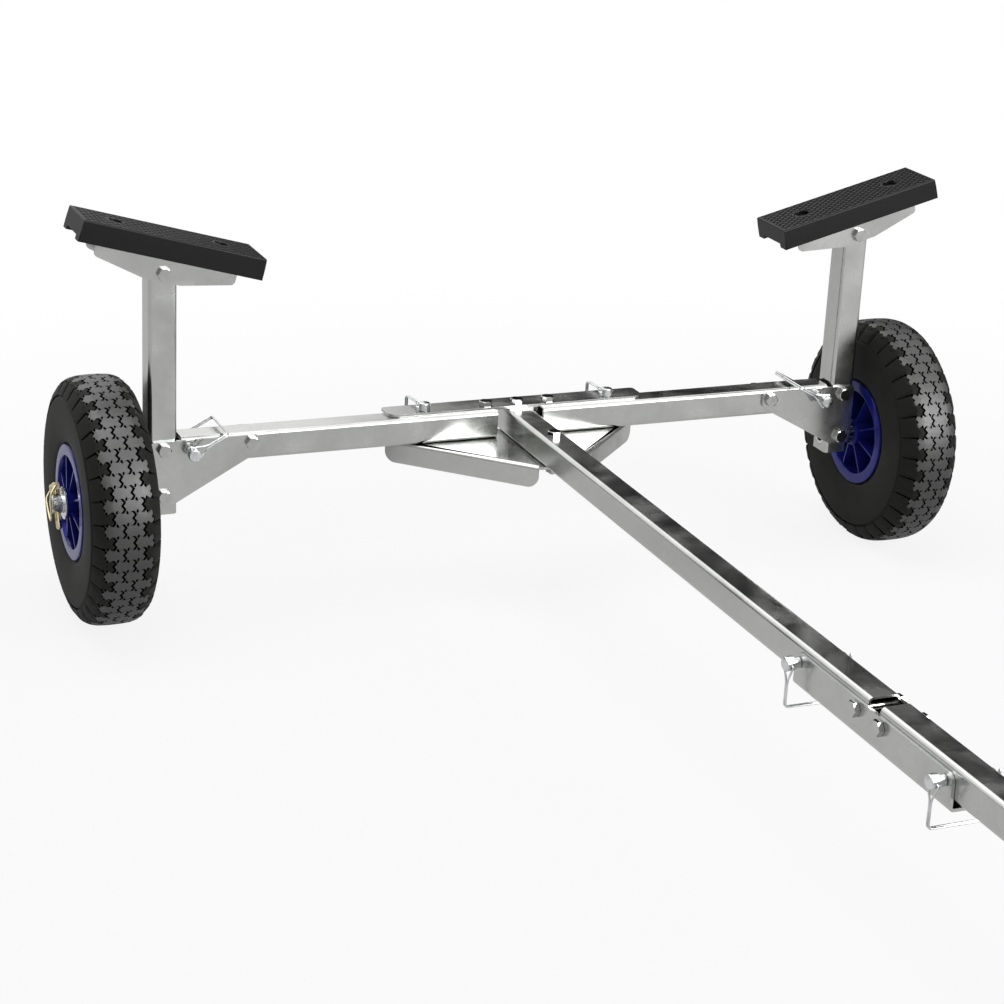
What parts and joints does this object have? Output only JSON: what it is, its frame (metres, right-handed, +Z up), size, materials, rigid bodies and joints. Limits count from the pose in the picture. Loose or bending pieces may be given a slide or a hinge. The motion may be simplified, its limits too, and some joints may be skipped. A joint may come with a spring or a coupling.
{
  "type": "inflatable boat trolley",
  "caption": "Folding T-shaped launching trolley of square steel tube with tyred wheels, tilting rubber pads on uprights, pinned fold joints and a hinged drawbar with handle and prop stand.",
  "frame": {"origin": "on the floor at the centre of the bounding box", "axes": "+X to the right along the crossbeam, +Y from the handle towards the wheels, +Z up"},
  "size_m": [1.0348, 1.569, 0.4352],
  "materials": {
    "galvanised_steel": "zinc plated, satin, faintly mottled",
    "bright_zinc": "bright zinc plated",
    "yellow_zinc": "yellow zinc plated",
    "pad_rubber": "moulded black rubber",
    "grip_rubber": "soft black rubber",
    "tyre_rubber": "matt dark rubber",
    "rim_plastic": "glossy navy blue"
  },
  "bodies": {
    "frame": {"drawbar_rear": "galvanised_steel", "centre_top_plate": "galvanised_steel", "gusset_plate": "galvanised_steel", "drawbar_bolt_centre": "bright_zinc", "drawbar_bolt_front": "bright_zinc", "beam_pivot_bolt_left": "bright_zinc", "beam_pivot_bolt_right": "bright_zinc"},
    "arm_left": {"beam_left": "galvanised_steel"},
    "beam_lock_left": {"beam_lock_pin_left": "bright_zinc"},
    "beam_wire_left": {"beam_lock_clip_left": "bright_zinc"},
    "leg_left": {"side_plate_front_left": "galvanised_steel", "side_plate_rear_left": "galvanised_steel", "leg_pivot_bolt_left": "bright_zinc", "upright_left": "galvanised_steel", "upright_bolt_upper_left": "bright_zinc", "upright_bolt_lower_left": "bright_zinc", "axle_left": "bright_zinc", "hub_washer_left": "bright_zinc", "pad_bolt_left": "bright_zinc"},
    "leg_lock_left": {"leg_lock_pin_left": "bright_zinc"},
    "leg_wire_left": {"leg_lock_clip_left": "bright_zinc"},
    "wheel_left": {"rim_left": "rim_plastic", "tyre_left": "tyre_rubber"},
    "linch_left": {"linch_pin_left": "yellow_zinc"},
    "linch_loop_left": {"linch_ring_left": "yellow_zinc"},
    "pad_swivel_left": {"pad_bracket_left": "galvanised_steel", "pad_left": "pad_rubber"},
    "arm_right": {"beam_right": "galvanised_steel"},
    "beam_lock_right": {"beam_lock_pin_right": "bright_zinc"},
    "beam_wire_right": {"beam_lock_clip_right": "bright_zinc"},
    "leg_right": {"side_plate_front_right": "galvanised_steel", "side_plate_rear_right": "galvanised_steel", "leg_pivot_bolt_right": "bright_zinc", "upright_right": "galvanised_steel", "upright_bolt_upper_right": "bright_zinc", "upright_bolt_lower_right": "bright_zinc", "axle_right": "bright_zinc", "hub_washer_right": "bright_zinc", "pad_bolt_right": "bright_zinc"},
    "leg_lock_right": {"leg_lock_pin_right": "bright_zinc"},
    "leg_wire_right": {"leg_lock_clip_right": "bright_zinc"},
    "wheel_right": {"rim_right": "rim_plastic", "tyre_right": "tyre_rubber"},
    "linch_right": {"linch_pin_right": "yellow_zinc"},
    "linch_loop_right": {"linch_ring_right": "yellow_zinc"},
    "pad_swivel_right": {"pad_bracket_right": "galvanised_steel", "pad_right": "pad_rubber"},
    "channel": {"fold_channel": "galvanised_steel", "fold_bolt_rear": "bright_zinc", "fold_bolt_front": "bright_zinc"},
    "front_section": {"drawbar_front": "galvanised_steel", "grip_left": "grip_rubber", "grip_right": "grip_rubber", "stand_bolt": "bright_zinc"},
    "stand": {"prop_stand": "galvanised_steel"},
    "fold_lock_rear": {"fold_pin_rear": "bright_zinc"},
    "fold_wire_rear": {"fold_clip_rear": "bright_zinc"},
    "fold_lock_front": {"fold_pin_front": "bright_zinc"},
    "fold_wire_front": {"fold_clip_front": "bright_zinc"}
  },
  "joints": [
    {"name": "beam_fold_left", "type": "hinge", "parent": "frame", "child": "arm_left", "pos_m": [-0.0365, 0.6545, 0.1805], "axis": [0, 0, 1], "range_deg": [0, 60]},
    {"name": "leg_fold_left", "type": "hinge", "parent": "arm_left", "child": "leg_left", "pos_m": [-0.3055, 0.6545, 0.185], "axis": [0, -1, 0], "range_deg": [0, 90]},
    {"name": "wheel_spin_left", "type": "hinge", "parent": "leg_left", "child": "wheel_left", "pos_m": [-0.4625, 0.6545, 0.13], "axis": [1, 0, 0], "continuous": true},
    {"name": "pad_tilt_left", "type": "hinge", "parent": "leg_left", "child": "pad_swivel_left", "pos_m": [-0.4, 0.6545, 0.3718], "axis": [0, -1, 0], "range_deg": [0, 30]},
    {"name": "beam_pin_slide_left", "type": "slide", "parent": "frame", "child": "beam_lock_left", "axis": [0, 0, 1], "range_m": [0, 0.015]},
    {"name": "beam_clip_swing_left", "type": "hinge", "parent": "beam_lock_left", "child": "beam_wire_left", "pos_m": [-0.108, 0.6545, 0.2036], "axis": [0.9928, 0.12, 0], "range_deg": [0, 150]},
    {"name": "leg_pin_slide_left", "type": "slide", "parent": "arm_left", "child": "leg_lock_left", "axis": [0, -1, 0], "range_m": [0, 0.007]},
    {"name": "leg_clip_swing_left", "type": "hinge", "parent": "leg_lock_left", "child": "leg_wire_left", "pos_m": [-0.3715, 0.6227, 0.1815], "axis": [0.4695, 0, -0.8829], "range_deg": [0, 150]},
    {"name": "linch_pin_slide_left", "type": "slide", "parent": "leg_left", "child": "linch_left", "axis": [0, 0.4695, 0.8829], "range_m": [0, 0.012]},
    {"name": "linch_ring_swing_left", "type": "hinge", "parent": "linch_left", "child": "linch_loop_left", "pos_m": [-0.5085, 0.66248, 0.14501], "axis": [0, 0.8829, -0.4695], "range_deg": [0, 150]},
    {"name": "beam_fold_right", "type": "hinge", "parent": "frame", "child": "arm_right", "pos_m": [0.0365, 0.6545, 0.1805], "axis": [0, 0, -1], "range_deg": [0, 60]},
    {"name": "leg_fold_right", "type": "hinge", "parent": "arm_right", "child": "leg_right", "pos_m": [0.3055, 0.6545, 0.185], "axis": [0, 1, 0], "range_deg": [0, 90]},
    {"name": "wheel_spin_right", "type": "hinge", "parent": "leg_right", "child": "wheel_right", "pos_m": [0.4625, 0.6545, 0.13], "axis": [1, 0, 0], "continuous": true},
    {"name": "pad_tilt_right", "type": "hinge", "parent": "leg_right", "child": "pad_swivel_right", "pos_m": [0.4, 0.6545, 0.3718], "axis": [0, 1, 0], "range_deg": [0, 30]},
    {"name": "beam_pin_slide_right", "type": "slide", "parent": "frame", "child": "beam_lock_right", "axis": [0, 0, 1], "range_m": [0, 0.015]},
    {"name": "beam_clip_swing_right", "type": "hinge", "parent": "beam_lock_right", "child": "beam_wire_right", "pos_m": [0.108, 0.6545, 0.2036], "axis": [0.9928, 0.12, 0], "range_deg": [0, 150]},
    {"name": "leg_pin_slide_right", "type": "slide", "parent": "arm_right", "child": "leg_lock_right", "axis": [0, -1, 0], "range_m": [0, 0.007]},
    {"name": "leg_clip_swing_right", "type": "hinge", "parent": "leg_lock_right", "child": "leg_wire_right", "pos_m": [0.3715, 0.6227, 0.1815], "axis": [0.4695, 0, 0.8829], "range_deg": [0, 150]},
    {"name": "linch_pin_slide_right", "type": "slide", "parent": "leg_right", "child": "linch_right", "axis": [0, 0.4695, 0.8829], "range_m": [0, 0.012]},
    {"name": "linch_ring_swing_right", "type": "hinge", "parent": "linch_right", "child": "linch_loop_right", "pos_m": [0.5085, 0.66248, 0.14501], "axis": [0, -0.8829, 0.4695], "range_deg": [0, 150]},
    {"name": "drawbar_fold_rear", "type": "hinge", "parent": "frame", "child": "channel", "pos_m": [0, -0.1225, 0.181], "axis": [-1, 0, 0], "range_deg": [0, 90]},
    {"name": "drawbar_fold_front", "type": "hinge", "parent": "channel", "child": "front_section", "pos_m": [0, -0.1615, 0.181], "axis": [-1, 0, 0], "range_deg": [0, 90]},
    {"name": "stand_fold", "type": "hinge", "parent": "front_section", "child": "stand", "pos_m": [0, -0.6355, 0.178], "axis": [1, 0, 0], "range_deg": [0, 80]},
    {"name": "fold_pin_slide_rear", "type": "slide", "parent": "channel", "child": "fold_lock_rear", "axis": [-1, 0, 0], "range_m": [0, 0.007]},
    {"name": "fold_clip_swing_rear", "type": "hinge", "parent": "fold_lock_rear", "child": "fold_wire_rear", "pos_m": [-0.0288, -0.0255, 0.181], "axis": [0, 1, 0], "range_deg": [0, 150]},
    {"name": "fold_pin_slide_front", "type": "slide", "parent": "channel", "child": "fold_lock_front", "axis": [-1, 0, 0], "range_m": [0, 0.007]},
    {"name": "fold_clip_swing_front", "type": "hinge", "parent": "fold_lock_front", "child": "fold_wire_front", "pos_m": [-0.0288, -0.2595, 0.181], "axis": [0, 1, 0], "range_deg": [0, 150]}
  ]
}
